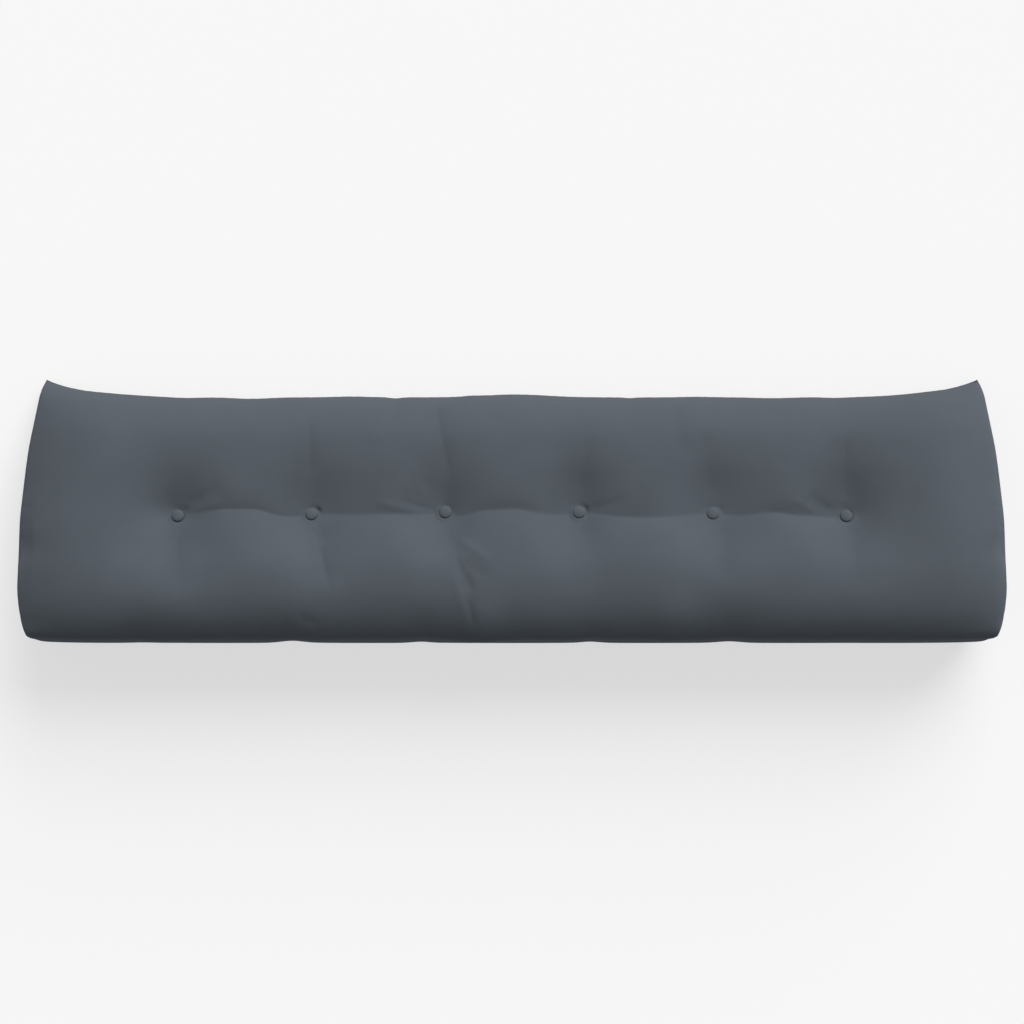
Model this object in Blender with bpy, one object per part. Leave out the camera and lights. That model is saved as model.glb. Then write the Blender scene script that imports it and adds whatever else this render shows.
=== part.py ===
"""A wedge-shaped back cushion with a row of six covered buttons, lying on its back panel.

Metres. +X runs along the cushion, +Y towards its thin top edge and +Z out of its buttoned face.
The cover has five sewn panels: the front, the base, the back and a triangular one at each end.
"""

import math
from collections import namedtuple

import bmesh
import bpy
from mathutils import Matrix, Vector

# The side seams' nominal place, and how far the filling takes to swell the cover inside them.
SIDE_SEAM_X = 0.900
END_REACH = 0.250
EDGE_DRAW = 0.075
CROWN_DRAW = 0.055
BACK_DRAW = 0.030
BACK_REACH = 0.067
OUTLINE_REACH = 0.200

# The row of buttons, a little uneven in height, and the flat seats that they lie on.
BUTTON_PITCH = 0.2446
BUTTON_YS = (-0.0084, -0.0055, -0.0019, -0.0019, -0.0039, -0.0088)
BUTTON_COUNT = len(BUTTON_YS)
ROW_Y = -0.007
SEAT_Z = 0.127
SEAT_RADIUS = 0.020
SEAT_BLEND = 0.042
FACE_TILT = math.radians(16.0)
BUTTON_GAP = 0.0003
BUTTON_SIDES = 20

# The valley that is drawn in along the row, and the dimple at each button.
ROW_DROP = 0.011
ROW_SPREAD = 0.060
CREASE_DROP = 0.004
CREASE_SPREAD = 0.010
CREASE_FADE = 0.050
CREASE_ROUNDING = 0.5
DIMPLE_DROP = 0.009
DIMPLE_SPREAD = 0.030

# The wide hollow around each button from left to right: its shift along the row and its size.
Hollow = namedtuple("Hollow", "shift width height drop")
HOLLOWS = (
    Hollow(0.012, 0.085, 0.100, 0.021),
    Hollow(0.012, 0.072, 0.095, 0.014),
    Hollow(0.006, 0.058, 0.095, 0.017),
    Hollow(0.008, 0.050, 0.095, 0.018),
    Hollow(0.014, 0.055, 0.095, 0.018),
    Hollow(0.014, 0.064, 0.100, 0.020),
)

# How much the end panels swell, and the middle and half sizes of the oval that they round to.
SIDE_SWELL = 0.011
SIDE_CENTRE_Y = -0.107
SIDE_CENTRE_Z = 0.072
SIDE_OVAL_Y = 0.200
SIDE_OVAL_Z = 0.066
SIDE_RINGS = (0.10, 0.28, 0.50, 0.75)

# Colours from the dyed cloth: the cover, and the slightly lighter cloth on the buttons.
COVER_COLOUR = (0.088, 0.101, 0.118, 1.0)
BUTTON_COLOUR = (0.092, 0.105, 0.122, 1.0)
CLOTH_ROUGHNESS = 0.9

# One row for each step round the section, from the top seam over the front to the base seam.
# The middle of the cushion is mid_y, mid_z, and the end panel's seam is end_x, end_y, end_z.
Section = namedtuple("Section", "mid_y mid_z end_x end_y end_z")
FRONT = (
    Section(0.2145, 0.012, 0.876, 0.2455, 0.013),
    Section(0.2135, 0.045, 0.882, 0.2295, 0.027),
    Section(0.1965, 0.080, 0.888, 0.2005, 0.045),
    Section(0.1545, 0.108, 0.892, 0.1565, 0.065),
    Section(0.1025, 0.126, 0.895, 0.1045, 0.085),
    Section(0.0485, 0.143, 0.897, 0.0485, 0.104),
    Section(-0.0055, 0.158, 0.899, -0.0055, 0.122),
    Section(-0.0595, 0.174, 0.900, -0.0575, 0.138),
    Section(-0.1095, 0.189, 0.900, -0.1045, 0.151),
    Section(-0.1575, 0.197, 0.898, -0.1485, 0.159),
    Section(-0.2005, 0.191, 0.893, -0.1875, 0.160),
    Section(-0.2315, 0.166, 0.884, -0.2155, 0.149),
    Section(-0.2400, 0.130, 0.872, -0.2305, 0.126),
)
CREASE_ROW = 6
SEAM_HOLD_ROWS = 2.0
ROW_LENGTH = 0.056
FRONT_STEPS = (0.28, 0.6, 1.0, 1.5, 2.1, 2.8, 3.5, 4.2, 4.9, 5.5, 6.0)

# The rest of the section: across the base, and back along the flat back panel.
BASE = (
    Section(-0.2440, 0.102, 0.875, -0.2340, 0.098),
    Section(-0.2455, 0.072, 0.876, -0.2350, 0.068),
    Section(-0.2435, 0.042, 0.875, -0.2335, 0.042),
    Section(-0.2365, 0.018, 0.872, -0.2295, 0.022),
)
BACK = (
    Section(-0.2235, 0.006, 0.878, -0.2175, 0.013),
    Section(-0.2015, 0.000, 0.886, -0.1975, 0.008),
    Section(-0.1015, 0.000, 0.896, -0.1005, 0.005),
    Section(0.0385, 0.000, 0.896, 0.0385, 0.005),
    Section(0.1635, 0.000, 0.890, 0.1785, 0.006),
    Section(0.1945, 0.004, 0.883, 0.2205, 0.008),
)

# Stations along the cushion, as shares of half a span and of the stretch past the last button.
SPAN_STEPS = (0.0, 0.115, 0.25, 0.40, 0.58, 0.78)
END_STEPS = (0.0, 0.05, 0.11, 0.18, 0.27, 0.38, 0.50, 0.62, 0.73, 0.82, 0.89, 0.945, 0.98, 1.0)

# How high the crease bows between one button and the next, from left to right.
CREASE_BOWS = (0.020, 0.002, 0.011, -0.003, 0.010)

# The gathers that run up and down the face from each button, from left to right.
Gather = namedtuple("Gather", "button lean reach depth")
GATHERS = (
    Gather(0, 0.012, 0.140, 0.008),
    Gather(0, -0.020, -0.100, 0.004),
    Gather(1, 0.000, 0.170, 0.007),
    Gather(1, 0.030, -0.120, 0.005),
    Gather(2, -0.012, 0.185, 0.008),
    Gather(2, 0.064, -0.190, 0.009),
    Gather(3, 0.008, 0.170, 0.006),
    Gather(3, 0.006, -0.110, 0.004),
    Gather(4, 0.014, 0.125, 0.006),
    Gather(4, -0.012, -0.110, 0.004),
    Gather(5, 0.018, 0.125, 0.008),
    Gather(5, -0.010, -0.100, 0.004),
)
GATHER_WIDTH = 0.015
GATHER_FLARE = 0.016
GATHER_RISE = 0.25

# Half the section of a covered button: radius and height above its flat underside.
BUTTON_PROFILE = (
    (0.0092, 0.0000),
    (0.0108, 0.0012),
    (0.0112, 0.0028),
    (0.0106, 0.0046),
    (0.0085, 0.0064),
    (0.0050, 0.0077),
)
BUTTON_HEIGHT = 0.0082

FACE_NORMAL = Vector((0.0, math.sin(FACE_TILT), math.cos(FACE_TILT)))


def button_x(index):
    """Where a button stands along the row, counted from the left."""
    return (index - (BUTTON_COUNT - 1) / 2) * BUTTON_PITCH


def seat_centre(index):
    """The middle of the flat seat under a button."""
    return Vector((button_x(index), BUTTON_YS[index], SEAT_Z))


def smooth_step(value):
    """Ease from 0 to 1."""
    value = min(max(value, 0.0), 1.0)
    return value * value * (3.0 - 2.0 * value)


def grown(inset, draw, reach=END_REACH):
    """How far the cover has swollen at a distance in from the side seam, from 0 to 1."""
    if inset >= reach:
        return 1.0
    return (1.0 - math.exp(-inset / draw)) / (1.0 - math.exp(-reach / draw))


def along(rows, place):
    """A point on the smooth curve through a table's rows, with place counted in rows."""
    last = len(rows) - 1
    place = min(max(place, 0.0), float(last))
    start = min(int(place), last - 1)
    share = place - start
    before, first = rows[max(start - 1, 0)], rows[start]
    second, after = rows[start + 1], rows[min(start + 2, last)]
    point = []
    for a, b, c, d in zip(before, first, second, after):
        bend = 2 * a - 5 * b + 4 * c - d
        twist = 3 * (b - c) + d - a
        point.append(b + 0.5 * share * (c - a + share * (bend + share * twist)))
    return Section(*point)


def crease_rise(x):
    """How far the crease stands above the row's level at a place along the cushion."""
    last = BUTTON_COUNT - 1
    place = x / BUTTON_PITCH + last / 2
    if place <= 0.0 or place >= last:
        past = abs(x) - button_x(last)
        level = BUTTON_YS[0 if place <= 0.0 else last] - ROW_Y
        return level * math.exp(-((past / CREASE_FADE) ** 2))
    span = math.floor(place)
    share = place - span
    level = BUTTON_YS[span] + (BUTTON_YS[span + 1] - BUTTON_YS[span]) * share - ROW_Y
    return level + CREASE_BOWS[span] * math.sin(math.pi * share)


def gather_depth(x, y):
    """How deep the gathers at the buttons are at one place on the face."""
    depth = 0.0
    for gather in GATHERS:
        share = (y - BUTTON_YS[gather.button]) / gather.reach
        if share <= 0.0 or share >= 1.0:
            continue
        off = x - button_x(gather.button) - gather.lean * share
        width = GATHER_WIDTH + GATHER_FLARE * share
        fade = smooth_step(share / GATHER_RISE) * (1.0 - smooth_step(share))
        depth += gather.depth * fade * math.exp(-((off / width) ** 2))
    return depth


def face_drop(x, y):
    """How far the buttons draw the front in at one place on the face."""
    last = button_x(BUTTON_COUNT - 1)
    past = max(abs(x) - last, 0.0)
    off = y - ROW_Y - crease_rise(x)
    rounding = CREASE_ROUNDING * past
    across = math.hypot(off, rounding) - rounding
    drop = ROW_DROP * math.exp(-across / ROW_SPREAD)
    drop += CREASE_DROP * math.exp(-across / CREASE_SPREAD)
    drop *= math.exp(-((past / CREASE_FADE) ** 2))
    for index, hollow in enumerate(HOLLOWS):
        beside, above = x - button_x(index), y - BUTTON_YS[index]
        far = math.hypot((beside - hollow.shift) / hollow.width, above / hollow.height)
        near = math.hypot(beside, above) / DIMPLE_SPREAD
        drop += hollow.drop * math.exp(-far * far) + DIMPLE_DROP * math.exp(-near)
    return drop + gather_depth(x, y)


def seat_share(x, y):
    """The nearest button, and 1 on its flat seat, fading to 0 around it."""
    index = round(x / BUTTON_PITCH + (BUTTON_COUNT - 1) / 2)
    index = min(max(index, 0), BUTTON_COUNT - 1)
    distance = math.hypot(x - button_x(index), y - BUTTON_YS[index])
    return index, 1.0 - smooth_step((distance - SEAT_RADIUS) / (SEAT_BLEND - SEAT_RADIUS))


def placed(row, station, draw_y, draw_z, reach=END_REACH):
    """A point of one section row at a station along the cushion."""
    inset = SIDE_SEAM_X - abs(station)
    near_end = max(1.0 - inset / OUTLINE_REACH, 0.0) ** 2
    x = abs(station) + (row.end_x - SIDE_SEAM_X) * near_end
    share_y = grown(inset, draw_y, reach)
    share_z = grown(inset, draw_z, reach)
    y = row.end_y + (row.mid_y - row.end_y) * share_y
    z = row.end_z + (row.mid_z - row.end_z) * share_z
    return Vector((math.copysign(x, station), y, z))


def front_point(station, place):
    """A point of the front panel, with the row's valley, hollows, gathers and seats."""
    fade = 1.0 - smooth_step(abs(place - CREASE_ROW) / CREASE_ROW)
    shifted = place - crease_rise(station) * fade / ROW_LENGTH
    point = placed(along(FRONT, shifted), station, EDGE_DRAW, CROWN_DRAW)
    swollen = grown(SIDE_SEAM_X - abs(station), CROWN_DRAW)
    from_seam = min(place, len(FRONT) - 1 - place)
    held = smooth_step(from_seam / SEAM_HOLD_ROWS) * swollen
    point.z -= face_drop(point.x, point.y) * held
    index, share = seat_share(point.x, point.y)
    if share > 0.0:
        seat = seat_centre(index)
        slope = (point.y - seat.y) * FACE_NORMAL.y / FACE_NORMAL.z
        point.z += (seat.z - slope - point.z) * share
    return point


def front_places():
    """Where the mesh rows lie on the front, closer together beside the crease."""
    upper = [CREASE_ROW - step for step in reversed(FRONT_STEPS)]
    lower = [CREASE_ROW + step for step in FRONT_STEPS]
    return upper + [CREASE_ROW] + lower


def stations():
    """Places along the cushion, closer together beside the buttons and at the ends."""
    half = BUTTON_PITCH / 2
    right = [0.0]
    for index in range(BUTTON_COUNT // 2, BUTTON_COUNT):
        centre = button_x(index)
        right += [centre - half * step for step in reversed(SPAN_STEPS[1:])]
        right.append(centre)
        if index < BUTTON_COUNT - 1:
            right += [centre + half * step for step in SPAN_STEPS[1:]] + [centre + half]
    last = button_x(BUTTON_COUNT - 1)
    right += [last + (SIDE_SEAM_X - last) * step for step in END_STEPS[1:]]
    return [-x for x in reversed(right[1:])] + right


def section_loop(station):
    """One closed section: down the front, across the base and back along the back panel."""
    loop = [front_point(station, place) for place in front_places()]
    loop += [placed(row, station, BACK_DRAW, BACK_DRAW) for row in BASE]
    for row in BACK:
        loop.append(placed(row, station, EDGE_DRAW, BACK_DRAW, BACK_REACH))
    return loop


def add_side_panel(mesh, seam):
    """Close one end with rings that swell out from its seam to a middle point."""
    side = math.copysign(1.0, seam[0].co.x)
    centre = Vector((side * (SIDE_SEAM_X + SIDE_SWELL), SIDE_CENTRE_Y, SIDE_CENTRE_Z))
    ring = seam
    for share in SIDE_RINGS:
        inner = []
        for vertex in seam:
            out = vertex.co - centre
            turn = math.atan2(out.z / SIDE_OVAL_Z, out.y / SIDE_OVAL_Y)
            oval = Vector((out.x, SIDE_OVAL_Y * math.cos(turn), SIDE_OVAL_Z * math.sin(turn)))
            point = centre + out.lerp(oval, share) * (1.0 - share)
            corner = out.x + side * SIDE_SWELL
            rest = 1.0 - share
            point.x = centre.x - side * SIDE_SWELL * rest ** 2 + corner * rest ** 4
            inner.append(mesh.verts.new(point))
        join_loops(mesh, ring, inner)
        ring = inner
    middle = mesh.verts.new(centre)
    for first, second in zip(ring, ring[1:] + ring[:1]):
        mesh.faces.new((first, second, middle))


def join_loops(mesh, first, second):
    """A band of faces between two closed loops."""
    count = len(first)
    for index in range(count):
        after = (index + 1) % count
        mesh.faces.new((first[index], first[after], second[after], second[index]))


def finish_mesh(mesh, name, colour):
    """Turn the faces outwards and put the mesh on an object with its own material."""
    bmesh.ops.triangulate(mesh, faces=mesh.faces)
    bmesh.ops.recalc_face_normals(mesh, faces=mesh.faces)
    data = bpy.data.meshes.new(name)
    mesh.to_mesh(data)
    mesh.free()
    data.shade_smooth()
    material = bpy.data.materials.new(name + "_cloth")
    material.use_nodes = True
    shader = material.node_tree.nodes["Principled BSDF"]
    shader.inputs["Base Color"].default_value = colour
    shader.inputs["Roughness"].default_value = CLOTH_ROUGHNESS
    data.materials.append(material)
    piece = bpy.data.objects.new(name, data)
    bpy.context.scene.collection.objects.link(piece)
    return piece


def make_cushion():
    """The filled cover, one closed solid."""
    mesh = bmesh.new()
    loops = [[mesh.verts.new(point) for point in section_loop(x)] for x in stations()]
    for first, second in zip(loops, loops[1:]):
        join_loops(mesh, first, second)
    add_side_panel(mesh, loops[0])
    add_side_panel(mesh, loops[-1])
    return finish_mesh(mesh, "cushion", COVER_COLOUR)


def make_button(index):
    """A covered button, turned from its profile and laid just clear of its seat."""
    mesh = bmesh.new()
    rings = []
    for radius, height in BUTTON_PROFILE:
        turns = [2.0 * math.pi * side / BUTTON_SIDES for side in range(BUTTON_SIDES)]
        points = [(radius * math.cos(a), radius * math.sin(a), height) for a in turns]
        rings.append([mesh.verts.new(point) for point in points])
    for first, second in zip(rings, rings[1:]):
        join_loops(mesh, first, second)
    mesh.faces.new(rings[0])
    crown = mesh.verts.new((0.0, 0.0, BUTTON_HEIGHT))
    for first, second in zip(rings[-1], rings[-1][1:] + rings[-1][:1]):
        mesh.faces.new((first, second, crown))
    button = finish_mesh(mesh, f"button_{index + 1}", BUTTON_COLOUR)
    place = seat_centre(index) + FACE_NORMAL * BUTTON_GAP
    button.matrix_world = Matrix.Translation(place) @ Matrix.Rotation(-FACE_TILT, 4, "X")
    return button


def main():
    """Clear the scene and make the cushion and its buttons."""
    for old in list(bpy.data.objects):
        bpy.data.objects.remove(old)
    make_cushion()
    for index in range(BUTTON_COUNT):
        make_button(index)


main()
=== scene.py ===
"""A wedge-shaped back cushion, tufted with a row of covered buttons, lying on its back panel.

Metres. +X runs along the cushion, +Y towards its thin top edge and +Z out of its buttoned face.
"""

import math
from collections import namedtuple

import bmesh
import bpy
import numpy as np
from bpy.props import FloatProperty, FloatVectorProperty, IntProperty, PointerProperty
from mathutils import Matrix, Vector


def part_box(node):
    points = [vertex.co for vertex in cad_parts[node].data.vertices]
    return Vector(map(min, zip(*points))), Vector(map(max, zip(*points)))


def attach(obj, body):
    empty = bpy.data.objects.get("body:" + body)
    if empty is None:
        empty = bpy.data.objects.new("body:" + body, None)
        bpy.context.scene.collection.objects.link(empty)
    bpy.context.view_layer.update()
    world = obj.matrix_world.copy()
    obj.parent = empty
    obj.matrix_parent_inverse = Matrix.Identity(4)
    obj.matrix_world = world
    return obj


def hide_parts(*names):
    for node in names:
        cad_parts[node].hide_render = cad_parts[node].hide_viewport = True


bl_info = {
    "name": "Tufted Back Cushion",
    "version": (1, 0, 0),
    "blender": (4, 5, 0),
    "location": "3D View > Sidebar > Cushion",
    "description": "Makes the cover, buttons and seams of a wedge-shaped back cushion on its frame",
    "category": "Object",
}

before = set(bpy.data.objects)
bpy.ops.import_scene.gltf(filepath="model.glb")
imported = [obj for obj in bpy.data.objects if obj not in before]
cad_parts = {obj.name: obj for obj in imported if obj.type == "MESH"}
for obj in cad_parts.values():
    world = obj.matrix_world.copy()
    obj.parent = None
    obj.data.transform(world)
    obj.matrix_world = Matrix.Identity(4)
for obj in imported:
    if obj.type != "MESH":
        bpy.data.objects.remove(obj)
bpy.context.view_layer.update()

# The side seams' nominal place. In from there the filling swells each panel within its reach,
# most of it within its draw.
SIDE_SEAM_X = 0.900
END_REACH = 0.250
EDGE_DRAW = 0.075
CROWN_DRAW = 0.055
BACK_DRAW = 0.030
BACK_REACH = 0.067

# How far in the end seams' outline is felt, and the rows over which neighbours' swelling mixes.
OUTLINE_REACH = 0.200
SEAM_BLEND_ROWS = 1.2

# The buttons, from left to right, and the flat seats that they lie on.
BUTTONS = sorted(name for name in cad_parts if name.startswith("button_"))
BUTTON_XS = np.array([sum(corner.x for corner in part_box(name)) / 2 for name in BUTTONS])
BUTTON_YS = np.array((-0.0084, -0.0055, -0.0019, -0.0019, -0.0039, -0.0088))
ROW_Y = -0.007
SEAT_Z = 0.1265
SEAT_RADIUS = 0.0113
SEAT_BLEND = 0.020
SEAT_ROUNDING = 0.0038
FACE_TILT = math.radians(16.0)
FACE_NORMAL = Vector((0.0, math.sin(FACE_TILT), math.cos(FACE_TILT)))

# Each button lies just clear of its seat, with its lower and right sides slightly proud.
BUTTON_GAP = 0.0003
BUTTON_PROUD = math.radians(2.0)
BUTTON_LEAN = math.radians(4.0)
BUTTON_SEGMENTS, BUTTON_RINGS = 108, 26
PLEATS_BELOW = 0.75
BUTTON_SEED = 4

# The lip of cloth that puffs up beneath each button.
LIP_RADIUS = 0.0140
LIP_WIDTH = 0.0024

# The valley that is drawn in along the row, and how it and its crease fade past the last button.
ROW_DROP = 0.008
ROW_SPREAD = 0.060
CREASE_FADE = 0.022
VALLEY_FADE = 0.050
VALLEY_ROUNDING = 0.5

# The wide hollow around each button from left to right: its shift along the row and its size.
Hollow = namedtuple("Hollow", "shift width height drop")
HOLLOWS = (
    Hollow(-0.004, 0.085, 0.100, 0.0255),
    Hollow(-0.006, 0.076, 0.095, 0.0250),
    Hollow(-0.008, 0.064, 0.095, 0.0250),
    Hollow(-0.008, 0.062, 0.095, 0.0250),
    Hollow(0.006, 0.076, 0.095, 0.0250),
    Hollow(0.002, 0.074, 0.100, 0.0260),
)

# The crease along the row: how far it rises over the row's level, and how deep it is there.
Knot = namedtuple("Knot", "x rise depth")
CREASE = (
    Knot(-0.6115, -0.0014, 0.0000),
    Knot(-0.5700, 0.0045, 0.0002),
    Knot(-0.5400, 0.0090, 0.0012),
    Knot(-0.5000, 0.0104, 0.0022),
    Knot(-0.4600, 0.0088, 0.0026),
    Knot(-0.4350, 0.0010, 0.0024),
    Knot(-0.4000, -0.0030, 0.0018),
    Knot(-0.3669, 0.0015, 0.0005),
    Knot(-0.3200, 0.0020, 0.0010),
    Knot(-0.2500, 0.0026, 0.0015),
    Knot(-0.1900, 0.0018, 0.0019),
    Knot(-0.1600, 0.0008, 0.0009),
    Knot(-0.1223, 0.0051, 0.0004),
    Knot(-0.0950, -0.0018, 0.0006),
    Knot(-0.0600, 0.0070, 0.0015),
    Knot(-0.0300, 0.0096, 0.0019),
    Knot(0.0000, 0.0112, 0.0013),
    Knot(0.0250, 0.0090, 0.0012),
    Knot(0.0500, 0.0028, 0.0009),
    Knot(0.0900, 0.0006, 0.0006),
    Knot(0.1223, 0.0051, 0.0004),
    Knot(0.1650, 0.0004, 0.0012),
    Knot(0.2050, -0.0038, 0.0019),
    Knot(0.2500, -0.0050, 0.0016),
    Knot(0.3000, -0.0030, 0.0005),
    Knot(0.3669, 0.0031, 0.0005),
    Knot(0.4200, -0.0010, 0.0008),
    Knot(0.4500, 0.0034, 0.0016),
    Knot(0.4850, 0.0052, 0.0028),
    Knot(0.5200, 0.0002, 0.0028),
    Knot(0.5550, -0.0006, 0.0024),
    Knot(0.5800, -0.0030, 0.0020),
    Knot(0.6115, -0.0018, 0.0005),
)

# How far the crease's flanks reach above and below it.
CREASE_ABOVE = 0.016
CREASE_BELOW = 0.007

# Creases in the face, each a bow through three points: its depth and how wide its flanks are.
Fold = namedtuple("Fold", "x0 y0 x1 y1 x2 y2 depth width")
CREASES = (
    Fold(-0.608, -0.020, -0.606, -0.089, -0.590, -0.158, 0.0030, 0.026),
    Fold(-0.357, -0.018, -0.339, -0.075, -0.325, -0.150, 0.0034, 0.023),
    Fold(-0.120, -0.020, -0.097, -0.093, -0.062, -0.195, 0.0018, 0.017),
    Fold(0.127, -0.020, 0.147, -0.072, 0.172, -0.145, 0.0014, 0.024),
    Fold(0.368, -0.020, 0.387, -0.062, 0.380, -0.140, 0.0026, 0.024),
    Fold(0.614, -0.020, 0.620, -0.070, 0.618, -0.150, 0.0024, 0.024),
    Fold(-0.374, 0.180, -0.369, 0.120, -0.367, 0.050, 0.0016, 0.010),
    Fold(-0.142, 0.205, -0.130, 0.145, -0.112, 0.050, 0.0026, 0.012),
    Fold(0.140, 0.180, 0.134, 0.095, 0.124, 0.015, 0.0020, 0.020),
    Fold(0.351, 0.165, 0.356, 0.090, 0.365, 0.015, 0.0016, 0.018),
    Fold(0.612, 0.165, 0.611, 0.075, 0.612, 0.015, 0.0026, 0.018),
    Fold(-0.598, 0.010, -0.560, 0.030, -0.518, 0.048, 0.0012, 0.010),
    Fold(-0.212, 0.028, -0.175, 0.012, -0.134, 0.000, 0.0010, 0.006),
    Fold(0.130, 0.006, 0.172, 0.010, 0.218, 0.031, 0.0014, 0.009),
    Fold(0.540, 0.036, 0.568, 0.013, 0.594, -0.003, 0.0022, 0.011),
    Fold(-0.350, -0.060, -0.342, -0.089, -0.333, -0.128, 0.0022, 0.005),
    Fold(-0.104, -0.080, -0.084, -0.116, -0.065, -0.153, 0.0020, 0.005),
    Fold(-0.094, -0.084, -0.066, -0.104, -0.034, -0.117, 0.0016, 0.007),
    Fold(-0.086, -0.150, -0.074, -0.180, -0.066, -0.214, 0.0019, 0.006),
    Fold(-0.388, -0.181, -0.369, -0.195, -0.346, -0.200, 0.0014, 0.005),
)

# Soft ridges and, where the depth is positive, soft troughs.
SWELLS = (
    Fold(0.300, 0.205, 0.308, 0.150, 0.318, 0.095, 0.0014, 0.014),
    Fold(-0.100, -0.047, -0.068, -0.070, -0.032, -0.094, -0.0017, 0.008),
    Fold(-0.114, -0.100, -0.096, -0.145, -0.080, -0.188, -0.0012, 0.011),
    Fold(-0.584, -0.003, -0.554, 0.009, -0.524, 0.012, -0.0010, 0.009),
    Fold(-0.252, 0.020, -0.208, 0.007, -0.150, -0.010, -0.0012, 0.008),
    Fold(0.508, 0.026, 0.534, 0.010, 0.568, -0.011, -0.0011, 0.007),
)

# The points that a bow is cut into, the share of it that fades at each end, how round a crease's
# bottom is and how far its flanks are followed, both over its width, and its fading at a seam.
FOLD_POINTS = 25
FOLD_FADE = 0.30
FOLD_ROUNDING = 0.35
FOLD_REACH = 6.0
FOLD_SEAM_FADE = 0.030

# Dimples and, where the depth is negative, lumps in the filling, from left to right: the wide ones
# and then the small ones.
Lump = namedtuple("Lump", "x y width height depth")
LUMPS = (
    Lump(-0.790, -0.045, 0.085, 0.080, -0.0090),
    Lump(-0.750, 0.070, 0.080, 0.120, -0.0090),
    Lump(-0.745, 0.115, 0.035, 0.050, -0.0016),
    Lump(-0.650, 0.000, 0.050, 0.070, 0.0050),
    Lump(-0.630, 0.000, 0.045, 0.028, 0.0030),
    Lump(-0.630, -0.150, 0.060, 0.070, -0.0080),
    Lump(-0.530, 0.015, 0.060, 0.050, -0.0020),
    Lump(-0.490, -0.060, 0.070, 0.070, -0.0040),
    Lump(-0.410, -0.200, 0.070, 0.050, -0.0040),
    Lump(-0.395, -0.120, 0.060, 0.080, -0.0080),
    Lump(-0.275, 0.030, 0.060, 0.080, 0.0060),
    Lump(-0.200, -0.060, 0.080, 0.070, -0.0035),
    Lump(-0.190, -0.004, 0.035, 0.030, 0.0020),
    Lump(-0.060, -0.205, 0.045, 0.055, -0.0090),
    Lump(0.080, -0.200, 0.080, 0.050, -0.0030),
    Lump(0.160, -0.060, 0.060, 0.070, -0.0045),
    Lump(0.270, -0.070, 0.070, 0.060, -0.0055),
    Lump(0.290, -0.200, 0.045, 0.050, -0.0050),
    Lump(0.410, -0.090, 0.060, 0.070, -0.0060),
    Lump(0.450, 0.060, 0.060, 0.070, 0.0040),
    Lump(0.530, -0.065, 0.060, 0.060, -0.0030),
    Lump(0.540, -0.005, 0.060, 0.020, 0.0015),
    Lump(0.570, 0.030, 0.060, 0.070, 0.0030),
    Lump(0.600, -0.002, 0.025, 0.025, 0.0020),
    Lump(0.630, -0.085, 0.060, 0.060, -0.0050),
    Lump(0.790, -0.060, 0.090, 0.090, -0.0110),
    Lump(0.800, 0.080, 0.090, 0.120, -0.0110),
    Lump(-0.681, -0.040, 0.014, 0.014, -0.0008),
    Lump(-0.598, 0.002, 0.006, 0.007, 0.0012),
    Lump(-0.480, 0.166, 0.012, 0.012, -0.0008),
    Lump(-0.396, 0.163, 0.014, 0.014, -0.0010),
    Lump(-0.3565, 0.001, 0.0048, 0.0048, 0.0050),
    Lump(-0.250, 0.139, 0.012, 0.012, -0.0008),
    Lump(-0.199, 0.034, 0.007, 0.007, 0.0008),
    Lump(-0.175, 0.029, 0.008, 0.008, 0.0008),
    Lump(-0.154, 0.049, 0.008, 0.008, 0.0008),
    Lump(0.1338, 0.000, 0.0045, 0.0080, 0.0036),
    Lump(0.381, 0.002, 0.005, 0.009, 0.0012),
)

# Shallow waves in the top edge and in the base's edge, where positive is towards the top, and
# in both side edges, where positive is outwards. Each has its place along its edge.
Wave = namedtuple("Wave", "place width shift")
TOP_WAVES = (
    Wave(-0.820, 0.095, 0.0052),
    Wave(0.825, 0.088, 0.0054),
    Wave(-0.610, 0.040, -0.0018),
    Wave(-0.490, 0.050, -0.0030),
    Wave(-0.300, 0.045, 0.0016),
    Wave(-0.218, 0.009, -0.0030),
    Wave(-0.075, 0.020, 0.0012),
    Wave(0.006, 0.085, 0.0056),
    Wave(0.220, 0.010, -0.0020),
    Wave(0.345, 0.040, 0.0012),
    Wave(0.490, 0.045, -0.0018),
    Wave(0.607, 0.030, -0.0016),
)
BASE_WAVES = (
    Wave(-0.680, 0.030, 0.0010),
    Wave(-0.405, 0.028, 0.0040),
    Wave(-0.168, 0.022, 0.0024),
    Wave(0.145, 0.022, 0.0024),
    Wave(0.400, 0.028, 0.0030),
)
SIDE_WAVES = (
    Wave(0.200, 0.022, -0.0022),
    Wave(0.168, 0.034, -0.0030),
    Wave(0.056, 0.018, -0.0014),
    Wave(-0.066, 0.028, -0.0082),
    Wave(-0.226, 0.014, 0.0020),
)

# Where each kind of wave starts across the cushion, and the width over which it grows.
TOP_WAVE_FROM, TOP_WAVE_OVER = 0.100, 0.100
BASE_WAVE_FROM, BASE_WAVE_OVER = -0.150, 0.070
SIDE_WAVE_FROM, SIDE_WAVE_OVER = 0.760, 0.130

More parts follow.
